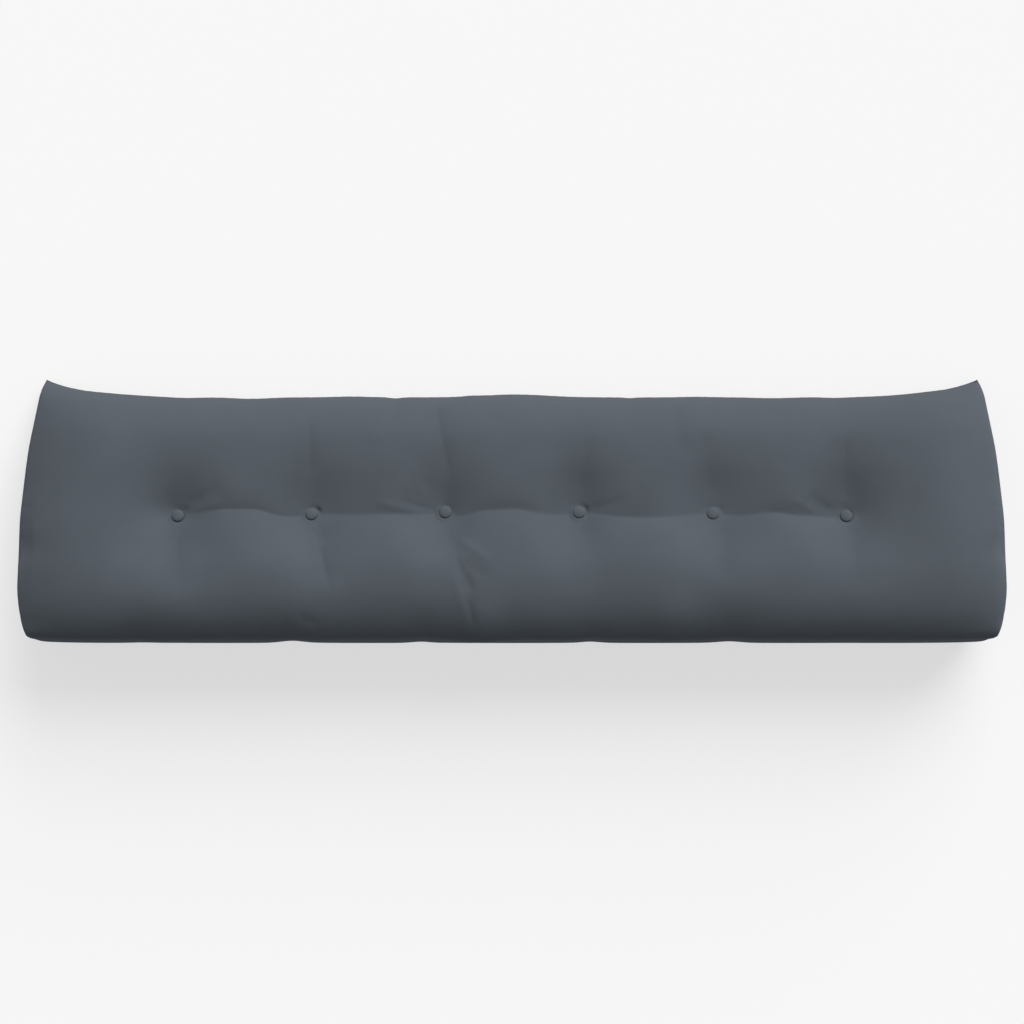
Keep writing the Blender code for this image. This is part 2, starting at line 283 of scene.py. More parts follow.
# One row for each step round the section, from the top seam over the front to the base seam.
# The middle of the cushion is mid_y, mid_z, and the end panel's seam is end_x, end_y, end_z.
Section = namedtuple("Section", "mid_y mid_z end_x end_y end_z")
FRONT = (
    Section(0.2145, 0.012, 0.876, 0.2455, 0.013),
    Section(0.2135, 0.045, 0.882, 0.2295, 0.027),
    Section(0.1965, 0.080, 0.888, 0.2005, 0.045),
    Section(0.1545, 0.1115, 0.892, 0.1565, 0.066),
    Section(0.1025, 0.1305, 0.895, 0.1045, 0.086),
    Section(0.0485, 0.1450, 0.897, 0.0485, 0.105),
    Section(-0.0055, 0.158, 0.899, -0.0055, 0.122),
    Section(-0.0595, 0.174, 0.900, -0.0575, 0.138),
    Section(-0.1095, 0.1885, 0.900, -0.1045, 0.151),
    Section(-0.1575, 0.1940, 0.898, -0.1485, 0.159),
    Section(-0.2005, 0.1865, 0.8925, -0.1885, 0.1605),
    Section(-0.2315, 0.1652, 0.8835, -0.2245, 0.1555),
    Section(-0.2400, 0.130, 0.8745, -0.2350, 0.1285),
)
LOW_SEAM = Section(-0.2320, 0.009, 0.872, -0.2270, 0.015)
BASE = (
    FRONT[-1],
    Section(-0.2430, 0.102, 0.870, -0.2392, 0.098),
    Section(-0.2444, 0.072, 0.871, -0.2402, 0.068),
    Section(-0.2425, 0.042, 0.872, -0.2385, 0.042),
    LOW_SEAM,
)
BACK = (
    LOW_SEAM,
    Section(-0.2015, 0.000, 0.886, -0.1975, 0.008),
    Section(-0.1015, 0.000, 0.896, -0.1005, 0.005),
    Section(0.0385, 0.000, 0.896, 0.0385, 0.005),
    Section(0.1635, 0.000, 0.890, 0.1785, 0.006),
    Section(0.1945, 0.004, 0.883, 0.2205, 0.008),
    FRONT[0],
)

# The front's row that the crease follows, the rows over which the tufts fade at a seam, and the
# cloth between two rows.
CREASE_ROW = 6
SEAM_HOLD_ROWS = 2.0
ROW_LENGTH = 0.056

# How much the end panels swell, the middle and half sizes of the oval that they round to, the
# rings that they are cut into from seam to middle, and how often each ring is smoothed.
SIDE_SWELL = 0.011
SIDE_CENTRE_Y = -0.107
SIDE_CENTRE_Z = 0.072
SIDE_OVAL_Y = 0.200
SIDE_OVAL_Z = 0.066
SIDE_RINGS = (0.025, 0.07, 0.13, 0.21, 0.31, 0.43, 0.57, 0.72, 0.87)
SIDE_PASSES = 6

# The number of faces across each stretch of cloth, and how much closer they are at its ends.
SPAN_FACES, SPAN_EASE = 32, 0.60
END_FACES, END_EASE = 36, 0.62
HALF_FRONT_FACES, FRONT_EASE = 33, 0.64
BASE_FACES, BASE_EASE = 12, 0.55
BACK_FACES, BACK_EASE = 18, 0.75

# How the seams draw the cloth in, how it gathers beside them, and how wide the lighter band along
# them reaches, partly wear and partly a painted rim highlight.
SEAM_SPREAD = 0.0045
SEAM_CREASE = 0.6
PUCKER_LENGTH = 0.021
PUCKER_REACH = 0.016
PUCKER_WANDER = ((0.113, 0.0, 0.35), (0.047, 1.3, 0.20))
WEAR_AND_RIM_HIGHLIGHT_REACH = 0.013
# How deep a fold or gather is where its painted shade is at its darkest.
PAINTED_FOLD_SHADE_DEPTH = 0.004

# What is kept for each point of the cover until it is finished: its share in the front, its gap to
# the long seams and to the side seams, and its place round the section.
COLUMNS = ("front", "row_gap", "side_gap", "round")

# The cloth simulation of the filled cover.
SWELL_FRAMES = 20
CLOTH_MASS = 0.25
CLOTH_TENSION = 18.0
CLOTH_BENDING = 1.2
CLOTH_AIR = 2.0

# Where the cover is held: beneath the resting height, on its seats and, almost, at its seams.
RESTING_Z = 0.0035
SEAT_MARGIN = 0.004
SEAM_HOLD = 0.85
SEAM_HOLD_REACH = 0.012
LEAST_HOLD = 0.01

# Where its slack starts, and how its movement is evened along the cushion and eased.
SLACK_PAST_SEAM = 0.05
SLACK_PAST_SEAT = 0.03
EVEN_SHARE = 0.5
EVEN_DRAW = 0.090
EASING_PASSES = 14
SEAT_FADE = 0.110

# The cloth's nap and its two sizes of mottling, and how much each changes the tone.
Mottle = namedtuple("Mottle", "scale detail roughness amount")
NAP = Mottle(900.0, 3.0, 0.60, 0.16)
PATCHES = Mottle(22.0, 3.0, 0.55, 0.10)
CLOUDS = Mottle(6.0, 2.0, 0.50, 0.08)

# The weave's thread spacing, and how much the weave, the seams' lighter band (wear and painted rim
# highlight) and the painted shade in folds and gathers change the tone.
THREAD = 0.0009
WEAVE_TONE = 0.03
WEAR_AND_RIM_HIGHLIGHT_TONE = 0.12
PAINTED_FOLD_SHADE_TONE = -0.10

# The cloth's relief over the nap's own, its roughness and its sheen.
WEAVE_RELIEF = 0.25
PATCH_RELIEF = 0.6
RELIEF_DEPTH = 0.0004
RELIEF_STRENGTH = 0.55
ROUGHNESS, ROUGHNESS_CHANGE = 0.80, 0.14
CLOTH_FINISH = {
    "Specular IOR Level": 0.25,
    "Sheen Weight": 0.12,
    "Sheen Roughness": 0.45,
    "Sheen Tint": (0.75, 0.85, 1.0, 1.0),
}

# The stage: a wide floor, the soft light's direction, the wall behind it, and the camera.
WHITE = (1.0, 1.0, 1.0, 1.0)
FLOOR_HALF = 14.0
FLOOR_CORNERS = ((-1, -1), (1, -1), (1, 1), (-1, 1))
FLOOR_FINISH = {"Roughness": 0.9, "Specular IOR Level": 0.0, "Emission Color": WHITE}
LIGHT_FROM = (0.36, 0.80, 0.50)
WALL_GLOW = 0.95
CAMERA_Y = -0.0015
SENSOR_WIDTH = 36.0


class CoverSettings(bpy.types.PropertyGroup):
    """The filled cover."""

    pressure: FloatProperty(
        name="Filling pressure", description="How hard the filling swells the cover", default=4.0
    )
    slack: FloatProperty(
        name="Slack",
        description="How far inside its final size the cover starts",
        default=0.004,
        unit="LENGTH",
    )
    movement: FloatProperty(
        name="Most movement",
        description="How far the filling may push any point",
        default=0.009,
        unit="LENGTH",
    )
    seam_depth: FloatProperty(
        name="Seam depth",
        description="How far a seam draws the cloth in",
        default=0.0020,
        unit="LENGTH",
    )
    pucker_depth: FloatProperty(
        name="Pucker depth",
        description="How deep the gathers beside a seam are",
        default=0.0009,
        unit="LENGTH",
    )
    lip_rise: FloatProperty(
        name="Lip rise",
        description="How far the cloth puffs up beneath a button",
        default=0.0012,
        unit="LENGTH",
    )
    fold_strength: FloatProperty(
        name="Fold strength",
        description="The depth of the face's folds against the usual one",
        default=1.0,
        subtype="FACTOR",
        min=0.0,
        max=2.0,
    )
    colour: FloatVectorProperty(
        name="Cover colour",
        description="The dyed cloth of the cover",
        default=(0.0862, 0.1014, 0.119),
        subtype="COLOR",
        size=3,
        min=0.0,
        max=1.0,
    )


class ButtonSettings(bpy.types.PropertyGroup):
    """The covered buttons."""

    radius: FloatProperty(
        name="Radius", description="The button's rim", default=0.0112, unit="LENGTH"
    )
    dome: FloatProperty(
        name="Dome", description="The button's height above its rim", default=0.0034, unit="LENGTH"
    )
    underside: FloatProperty(
        name="Underside",
        description="The button's depth below its rim",
        default=0.0008,
        unit="LENGTH",
    )
    pleats: IntProperty(
        name="Pleats", description="Gathers of the cloth round the rim", default=18, min=3
    )
    pleat_depth: FloatProperty(
        name="Pleat depth",
        description="How deep the gathers round the rim are",
        default=0.0002,
        unit="LENGTH",
    )
    colour: FloatVectorProperty(
        name="Button colour",
        description="The dyed cloth of the buttons",
        default=(0.0902, 0.1054, 0.123),
        subtype="COLOR",
        size=3,
        min=0.0,
        max=1.0,
    )


class StageSettings(bpy.types.PropertyGroup):
    """The floor, the lights and the camera."""

    floor_colour: FloatVectorProperty(
        name="Floor colour",
        description="The plain floor",
        default=(0.42, 0.42, 0.42),
        subtype="COLOR",
        size=3,
        min=0.0,
        max=1.0,
    )
    floor_glow: FloatProperty(
        name="Floor glow",
        description="Light that the floor gives off, as a lit table does",
        default=0.60,
    )
    key_strength: FloatProperty(
        name="Key strength", description="The soft light from the top edge's side", default=3.2
    )
    key_spread: FloatProperty(
        name="Key spread",
        description="How wide the soft light is",
        default=math.radians(50.0),
        subtype="ANGLE",
        unit="ROTATION",
    )
    fill_strength: FloatProperty(
        name="Fill strength", description="The even light from all round", default=0.29
    )
    camera_height: FloatProperty(
        name="Camera height",
        description="The camera's height over the floor",
        default=4.0,
        unit="LENGTH",
    )
    lens: FloatProperty(name="Lens", description="The focal length in millimetres", default=74.5)


def smooth_step(value):
    """Ease from 0 to 1."""
    value = np.clip(value, 0.0, 1.0)
    return value * value * (3.0 - 2.0 * value)


def eased(start, end, count, ease):
    """Places from start up to but not at end, closer together near both."""
    share = np.arange(count) / count
    return start + (end - start) * (share - ease * np.sin(2 * math.pi * share) / (2 * math.pi))


def grown(inset, draw, reach=END_REACH):
    """How far the cover has swollen at a distance in from the side seam, from 0 to 1."""
    inset = np.minimum(inset, reach)
    return (1.0 - np.exp(-inset / draw)) / (1.0 - math.exp(-reach / draw))


def along(rows, places):
    """Points on the smooth curve through a table's rows, with places counted in rows."""
    table = np.array(rows)
    last = len(table) - 1
    places = np.clip(places, 0.0, last)
    start = np.minimum(places.astype(int), last - 1)
    share = (places - start)[..., None]
    before, first = table[np.maximum(start - 1, 0)], table[start]
    second, after = table[start + 1], table[np.minimum(start + 2, last)]
    bend = 2 * before - 5 * first + 4 * second - after
    twist = 3 * (first - second) + after - before
    return first + 0.5 * share * (second - before + share * (bend + share * twist))


def through_knots(x, field):
    """The crease's rise or depth at places along the cushion, on a smooth curve."""
    xs = np.array([knot.x for knot in CREASE])
    values = np.array([getattr(knot, field) for knot in CREASE])
    slopes = np.gradient(values, xs)
    start = np.clip(np.searchsorted(xs, x) - 1, 0, len(xs) - 2)
    gap = xs[start + 1] - xs[start]
    t = np.clip((x - xs[start]) / gap, 0.0, 1.0)
    rise = values[start + 1] - values[start]
    pull = slopes[start] * gap * t * (1 - t) ** 2 - slopes[start + 1] * gap * t * t * (1 - t)
    return values[start] + rise * smooth_step(t) + pull


def past_row(x):
    """How far a place lies past the last button of the row."""
    return np.maximum(np.abs(x) - BUTTON_XS[-1], 0.0)


def row_rise(x):
    """How far the crease and its valley stand above the row's level."""
    return through_knots(x, "rise") * np.exp(-((past_row(x) / VALLEY_FADE) ** 2))


def wave(waves, run):
    """The shift that a table of shallow waves gives along an edge."""
    return sum(w.shift * np.exp(-(((run - w.place) / w.width) ** 2)) for w in waves)


def stations():
    """Places along the cushion, closer together beside the buttons and at the side seams."""
    stops = [-SIDE_SEAM_X, *BUTTON_XS, SIDE_SEAM_X]
    places = []
    for index, (start, end) in enumerate(zip(stops, stops[1:])):
        outer = index in (0, len(stops) - 2)
        count, ease = (END_FACES, END_EASE) if outer else (SPAN_FACES, SPAN_EASE)
        places.append(eased(start, end, count, ease))
    return np.append(np.concatenate(places), SIDE_SEAM_X)


def share_rows(places, last_row, own, first, last):
    """Swelling across a panel: its own in the middle, and its neighbours' at its two seams."""
    near_first = 1.0 - smooth_step(places / SEAM_BLEND_ROWS)
    near_last = 1.0 - smooth_step((last_row - places) / SEAM_BLEND_ROWS)
    return own + (first - own) * near_first + (last - own) * near_last


def placed(rows, station, share_y, share_z):
    """Points of section rows at stations along the cushion, swollen by the given shares."""
    mid_y, mid_z, end_x, end_y, end_z = np.moveaxis(rows, -1, 0)
    inset = SIDE_SEAM_X - np.abs(station)
    near_end = np.maximum(1.0 - inset / OUTLINE_REACH, 0.0) ** 2
    x = np.abs(station) + (end_x - SIDE_SEAM_X) * near_end
    y = end_y + (mid_y - end_y) * share_y
    z = end_z + (mid_z - end_z) * share_z
    return np.stack([np.copysign(x, station), y, z], axis=-1)


def face_drop(x, y):
    """How far the buttons draw the front in, before the sharp folds."""
    past = past_row(x)
    off = y - ROW_Y - row_rise(x)
    rounding = VALLEY_ROUNDING * past
    across = np.hypot(off, rounding) - rounding
    drop = ROW_DROP * np.exp(-across / ROW_SPREAD) * np.exp(-((past / VALLEY_FADE) ** 2))
    for button_x, button_y, hollow in zip(BUTTON_XS, BUTTON_YS, HOLLOWS):
        beside, above = x - button_x, y - button_y
        far = np.hypot((beside - hollow.shift) / hollow.width, above / hollow.height)
        drop += hollow.drop * np.exp(-far * far)
    return drop


def nearest_index(x):
    """The number of the button that is nearest to each place."""
    return np.abs(x[..., None] - BUTTON_XS).argmin(axis=-1)


def nearest_button(x):
    """The height along the face of the button that is nearest to each place."""
    return BUTTON_YS[nearest_index(x)]


def from_button(x, y):
    """The distance to the nearest button's axis, seen from the front."""
    return np.hypot(np.abs(x[..., None] - BUTTON_XS).min(axis=-1), y - nearest_button(x))


def front_panel(station):
    """The front's points, with the row's valley, the hollows and the buttons' seats."""
    last_row = len(FRONT) - 1
    upper = eased(0.0, CREASE_ROW, HALF_FRONT_FACES, FRONT_EASE)
    lower = eased(CREASE_ROW, last_row, HALF_FRONT_FACES, FRONT_EASE)
    places = np.append(upper, lower)[None, :]
    fade = 1.0 - smooth_step(np.abs(places - CREASE_ROW) / CREASE_ROW)
    shifted = places - row_rise(station) * fade / ROW_LENGTH
    inset = SIDE_SEAM_X - np.abs(station)
    crown = grown(inset, CROWN_DRAW)
    points = placed(along(FRONT, shifted), station, grown(inset, EDGE_DRAW), crown)
    from_seam = np.minimum(places, last_row - places)
    held = smooth_step(from_seam / SEAM_HOLD_ROWS) * crown
    x, y = points[..., 0], points[..., 1]
    points[..., 2] -= face_drop(x, y) * held
    distance = from_button(x, y)
    seat = 1.0 - smooth_step((distance - SEAT_RADIUS) / (SEAT_BLEND - SEAT_RADIUS))
    slope = (y - nearest_button(x)) * math.tan(FACE_TILT)
    points[..., 2] += (SEAT_Z - slope - points[..., 2]) * seat
    return points


def plain_panel(table, count, ease, station, own, first, last):
    """The base or the back, with the swelling at its seams that its neighbours have."""
    last_row = len(table) - 1
    places = eased(0.0, last_row, count, ease)[None, :]
    shares = [share_rows(places, last_row, *each) for each in zip(own, first, last)]
    return placed(along(table, places), station, *shares)


def cover_sections(station):
    """Every section of the cover: down the front, across the base and up the back."""
    station = station[:, None]
    inset = SIDE_SEAM_X - np.abs(station)
    front = grown(inset, EDGE_DRAW), grown(inset, CROWN_DRAW)
    base = grown(inset, BACK_DRAW), grown(inset, BACK_DRAW)
    back = grown(inset, EDGE_DRAW, BACK_REACH), grown(inset, BACK_DRAW, BACK_REACH)
    low_seam = tuple((a + b) / 2 for a, b in zip(base, back))
    points = np.concatenate(
        [
            front_panel(station),
            plain_panel(BASE, BASE_FACES, BASE_EASE, station, base, front, low_seam),
            plain_panel(BACK, BACK_FACES, BACK_EASE, station, back, low_seam, front),
        ],
        axis=1,
    )
    x, y = points[..., 0], points[..., 1]
    near_top = smooth_step((y - TOP_WAVE_FROM) / TOP_WAVE_OVER)
    near_base = smooth_step((BASE_WAVE_FROM - y) / BASE_WAVE_OVER)
    near_side = smooth_step((np.abs(x) - SIDE_WAVE_FROM) / SIDE_WAVE_OVER) * np.sign(x)
    outwards = wave(SIDE_WAVES, y) * near_side
    points[..., 1] += wave(TOP_WAVES, x) * near_top + wave(BASE_WAVES, x) * near_base
    points[..., 0] += outwards
    return points


def side_rings(seam, side):
    """Rings that close an end panel, from its seam to its middle point."""
    centre = np.array([side * (SIDE_SEAM_X + SIDE_SWELL), SIDE_CENTRE_Y, SIDE_CENTRE_Z])
    out = seam - centre
    turn = np.arctan2(out[:, 2] / SIDE_OVAL_Z, out[:, 1] / SIDE_OVAL_Y)
    oval = np.stack([out[:, 0], SIDE_OVAL_Y * np.cos(turn), SIDE_OVAL_Z * np.sin(turn)], axis=1)
    rings = []
    for share in SIDE_RINGS:
        for _ in range(SIDE_PASSES):
            out = out / 2 + (np.roll(out, 1, axis=0) + np.roll(out, -1, axis=0)) / 4
        rest = 1.0 - share
        ring = centre + (out + (oval - out) * share) * rest
        swell = side * SIDE_SWELL * (1.0 - rest**2) * rest**2
        ring[:, 0] = centre[0] + out[:, 0] * rest**4 - swell
        rings.append(ring)
    return rings, centre


def set_column(mesh, name, values):
    """Store one number for each point of a mesh."""
    attribute = mesh.attributes.new(name, "FLOAT", "POINT")
    attribute.data.foreach_set("value", np.ascontiguousarray(values, dtype=np.float32))


def column(mesh, name):
    """The numbers that a mesh stores for its points."""
    values = np.empty(len(mesh.vertices), np.float32)
    mesh.attributes[name].data.foreach_get("value", values)
    return values.astype(float)


def points_of(mesh, what="co"):
    """A mesh's points, or their normals."""
    flat = np.empty(len(mesh.vertices) * 3, np.float32)
    mesh.vertices.foreach_get(what, flat)
    return flat.reshape(-1, 3).astype(float)


def set_points(mesh, points):
    """Move a mesh's points."""
    mesh.vertices.foreach_set("co", np.ascontiguousarray(points, dtype=np.float32).ravel())
    mesh.update()


def run_lengths(points):
    """The length along each line of points, from its first one."""
    steps = np.linalg.norm(np.diff(points, axis=-2), axis=-1)
    return np.concatenate([np.zeros_like(steps[..., :1]), np.cumsum(steps, axis=-1)], axis=-1)


class CoverGrid:
    """The cover's points, faces, cloth coordinates and seams, before it is filled."""

    def __init__(self):
        self.station = stations()
        self.sections = cover_sections(self.station)
        self.count, self.around = self.sections.shape[:2]
        front_faces = 2 * HALF_FRONT_FACES
        self.seam_rows = (0, front_faces, front_faces + BASE_FACES)
        closed = np.concatenate([self.sections, self.sections[:, :1]], axis=1)
        self.run = run_lengths(closed[self.count // 2])
        self.points = list(self.sections.reshape(-1, 3))
        self.columns = {name: [] for name in COLUMNS}
        self.faces = []
        self.uvs = []
        self.measure()
        self.add_body()
        self.add_end(0, -1.0)
        self.add_end(self.count - 1, 1.0)

    def measure(self):
        """Fill the columns for the front, the base and the back."""
        run = self.run[:-1]
        gaps = [np.abs(run - self.run[row]) for row in (*self.seam_rows, -1)]
        values = {
            "front": np.where(np.arange(self.around) <= self.seam_rows[1], 1.0, 0.0),
            "row_gap": np.minimum.reduce(gaps),
            "side_gap": SIDE_SEAM_X - np.abs(self.station[:, None]),
            "round": run,
        }
        for name, value in values.items():
            self.columns[name].append(np.broadcast_to(value, (self.count, self.around)).ravel())

    def add_body(self):
        """The faces of the front, the base and the back."""
        for s in range(self.count - 1):
            left, right = s * self.around, (s + 1) * self.around
            u0, u1 = self.station[s : s + 2]
            for p in range(self.around):
                after = (p + 1) % self.around
                v0, v1 = self.run[p : p + 2]
                self.faces.append((left + p, left + after, right + after, right + p))
                self.uvs += [(u0, v0), (u0, v1), (u1, v1), (u1, v0)]

    def add_end(self, index, side):
        """The rings and faces of the end panel that closes a section."""
        outer, before = index * self.around, self.sections[index]
        rings, centre = side_rings(before, side)
        gap = np.zeros(self.around)
        for ring in rings:
            gap = gap + np.linalg.norm(ring - before, axis=1)
            inner = self.add_points(ring, gap)
            for p, after in self.pairs_round():
                self.add_side_face(outer + p, outer + after, inner + after, inner + p)
            outer, before = inner, ring
        middle = self.add_points(centre[None, :], gap[:1])
        for p, after in self.pairs_round():
            self.add_side_face(outer + p, outer + after, middle)

    def pairs_round(self):
        """The numbers of neighbouring points round a section or a ring."""
        return [(p, (p + 1) % self.around) for p in range(self.around)]

    def add_points(self, points, gap):
        """Add an end panel's points, with their gap to its seam, and number the first."""
        first, count = len(self.points), len(points)
        self.points += list(points)
        for name, value in zip(COLUMNS, (np.zeros(count), np.ones(count), gap, self.run[:count])):
            self.columns[name].append(value)
        return first

    def add_side_face(self, *corners):
        """Add a face of an end panel, with its corners' places on the cloth, seen straight on."""
        self.faces.append(corners)
        self.uvs += [tuple(self.points[corner][1:]) for corner in corners]

    def seam_edges(self):
        """Pairs of points along every seam."""
        pairs = []
        for row in self.seam_rows:
            for s in range(self.count - 1):
                pairs.append((s * self.around + row, (s + 1) * self.around + row))
        for start in (0, (self.count - 1) * self.around):
            pairs += [(start + p, start + after) for p, after in self.pairs_round()]
        return pairs


def cover_mesh(grid):
    """The start of the cover as one closed mesh, its seams marked sharp."""
    mesh = bpy.data.meshes.new("cover")
    mesh.from_pydata(np.array(grid.points).tolist(), [], grid.faces)
    layer = mesh.uv_layers.new(name="cloth")
    layer.data.foreach_set("uv", np.array(grid.uvs, dtype=np.float32).ravel())
    for name in COLUMNS:
        set_column(mesh, name, np.concatenate(grid.columns[name]))
    work = bmesh.new()
    work.from_mesh(mesh)
    bmesh.ops.recalc_face_normals(work, faces=work.faces)
    work.verts.ensure_lookup_table()
    crease = work.edges.layers.float.new("crease_edge")
    for first, second in grid.seam_edges():
        edge = work.edges.get((work.verts[first], work.verts[second]))
        edge[crease] = SEAM_CREASE
    work.to_mesh(mesh)
    work.free()
    mesh.shade_smooth()
    return mesh


def seam_gap(mesh):
    """The distance of each point to its nearest seam."""
    return np.minimum(column(mesh, "row_gap"), column(mesh, "side_gap"))


def hold_weights(mesh):
    """How firmly each point is held: the seats and the resting back fully, the seams almost."""
    x, y, z = points_of(mesh).T
    on_seat = (from_button(x, y) < SEAT_RADIUS + SEAT_MARGIN) & (column(mesh, "front") > 0.5)
    seam = SEAM_HOLD * (1.0 - smooth_step(seam_gap(mesh) / SEAM_HOLD_REACH))
    return np.where(on_seat | (z < RESTING_Z), 1.0, seam)


def swollen_points(piece, weights, settings):
    """The piece's points after a short cloth simulation under the filling's pressure."""
    group = piece.vertex_groups.new(name="held")
    for index in np.flatnonzero(weights > LEAST_HOLD):
        group.add([int(index)], float(weights[index]), "REPLACE")
    cloth = piece.modifiers.new("Filling", "CLOTH")
    cloth.settings.vertex_group_mass = group.name
    cloth.settings.mass = CLOTH_MASS
    cloth.settings.tension_stiffness = CLOTH_TENSION
    cloth.settings.compression_stiffness = CLOTH_TENSION
    cloth.settings.bending_stiffness = CLOTH_BENDING
    cloth.settings.air_damping = CLOTH_AIR
    cloth.settings.use_pressure = True
    cloth.settings.uniform_pressure_force = settings.pressure
    cloth.settings.effector_weights.gravity = 0.0
    cloth.collision_settings.use_collision = False
    cloth.point_cache.frame_end = SWELL_FRAMES
    scene = bpy.context.scene
    for number in range(1, SWELL_FRAMES + 1):
        scene.frame_set(number)
    swollen = points_of(piece.evaluated_get(bpy.context.evaluated_depsgraph_get()).data)
    piece.modifiers.remove(cloth)
    piece.vertex_groups.remove(group)
    scene.frame_set(1)
    return swollen


def even_out(body, station):
    """Even the movement of the cover's sections along the cushion, and ease it over the cloth."""
    weight = grown(SIDE_SEAM_X - np.abs(station), EVEN_DRAW)[:, None, None]
    even = (body * weight).sum(axis=0) / weight.sum()
    body -= (1.0 - EVEN_SHARE) * weight * even
    for _ in range(EASING_PASSES):
        around = (np.roll(body, 1, axis=1) + np.roll(body, -1, axis=1)) / 2
        body[:] = (body + around) / 2
        body[1:-1] = body[1:-1] / 2 + (body[:-2] + body[2:]) / 4


def fill_cover(piece, grid, settings):
    """Swell the cover with its filling, applied to the mesh."""
    mesh = piece.data
    final = points_of(mesh)
    weights = hold_weights(mesh)
    lifted = final[:, 2] > RESTING_Z
    seat_gap = from_button(final[:, 0], final[:, 1]) - SEAT_RADIUS
    free = smooth_step(seam_gap(mesh) / SLACK_PAST_SEAM) * smooth_step(seat_gap / SLACK_PAST_SEAT)
    start = final - points_of(mesh, "normal") * (settings.slack * free * lifted)[:, None]
    set_points(mesh, start)
    move = swollen_points(piece, weights, settings) - final
    far = np.linalg.norm(move, axis=1, keepdims=True)
    move *= np.minimum(1.0, settings.movement / np.maximum(far, 1e-9))
    sections = move[: grid.count * grid.around].reshape(grid.count, grid.around, 3)
    even_out(sections, grid.station)
    still = smooth_step(seat_gap / SEAT_FADE) * lifted
    set_points(mesh, final + move * still[:, None])


def subdivided(piece):
    """The piece's mesh with every face cut in four and rounded."""
    piece.modifiers.new("Rounding", "SUBSURF").levels = 1
    graph = bpy.context.evaluated_depsgraph_get()
    fine = bpy.data.meshes.new_from_object(
        piece.evaluated_get(graph), preserve_all_data_layers=True, depsgraph=graph
    )
    piece.modifiers.clear()
    fine.name = piece.data.name
    return fine


def fold_line(fold):
    """Points on the bow through a fold's three places."""
    t = np.linspace(0.0, 1.0, FOLD_POINTS)[:, None]
    first, middle, last = (np.array(p) for p in (fold[0:2], fold[2:4], fold[4:6]))
    handle = 2.0 * middle - 0.5 * (first + last)
    return (1 - t) ** 2 * first + 2 * t * (1 - t) * handle + t**2 * last


def fold_shares(fold, flat):
    """For each place on the face, the distance to a fold over its width, and its fading."""
    line = fold_line(fold)
    gaps = np.linalg.norm(flat[:, None, :] - line[None, :, :], axis=-1)
    nearest = gaps.argmin(axis=1)
    before = np.maximum(nearest - 1, 0)
    after = np.minimum(nearest + 1, len(line) - 1)
    way = line[after] - line[before]
    length = np.linalg.norm(way, axis=1)
    off = flat - line[nearest]
    side = np.abs(way[:, 0] * off[:, 1] - way[:, 1] * off[:, 0]) / length
    end = (nearest == 0) | (nearest == len(line) - 1)
    distance = np.where(end, gaps.min(axis=1), side)
    share = nearest / (len(line) - 1)
    fade = smooth_step(share / FOLD_FADE) * smooth_step((1 - share) / FOLD_FADE)
    return distance / fold.width, fade


def face_folds(x, y):
    """How deep the row's crease, the sharp folds and the soft ones are on the face."""
    off = y - ROW_Y - row_rise(x)
    depth = through_knots(x, "depth") * np.exp(-((past_row(x) / CREASE_FADE) ** 2))
    total = depth * np.exp(-np.maximum(off / CREASE_ABOVE, -off / CREASE_BELOW))
    flat = np.stack([x, y], axis=1)
    for folds, sharp in ((CREASES, True), (SWELLS, False)):
        for fold in folds:
            reach = FOLD_REACH * fold.width
            low = np.minimum(np.minimum(fold[0:2], fold[2:4]), fold[4:6]) - reach
            high = np.maximum(np.maximum(fold[0:2], fold[2:4]), fold[4:6]) + reach
            near = np.flatnonzero(((flat > low) & (flat < high)).all(axis=1))
            distance, fade = fold_shares(fold, flat[near])
            if sharp:
                flank = np.hypot(distance, FOLD_ROUNDING) - FOLD_ROUNDING
            else:
                flank = distance**2
            total[near] += fold.depth * fade * np.exp(-flank)
    return total


def face_lumps(x, y):
    """How deep the dimples in the filling are on the face, less its lumps."""
    total = np.zeros_like(x)
    for lump in LUMPS:
        far = np.hypot((x - lump.x) / lump.width, (y - lump.y) / lump.height)
        total += lump.depth * np.exp(-far * far)
    return total


def seat_heights(settings):
    """How high each button's seat stands, to meet the lumps and folds above it."""
    rim = BUTTON_YS + SEAT_RADIUS / 2
    drop = face_folds(BUTTON_XS, rim) + face_lumps(BUTTON_XS, rim)
    return SEAT_Z - drop * settings.fold_strength


def puckers(run):
    """The gathers' profile along a seam, from 0 between them to 1 at their middle."""
    phase = run / PUCKER_LENGTH
    for length, shift, amount in PUCKER_WANDER:
        phase = phase + amount * np.sin(2 * math.pi * run / length + shift)
    return (1.0 - np.abs(np.sin(math.pi * phase))) ** 2


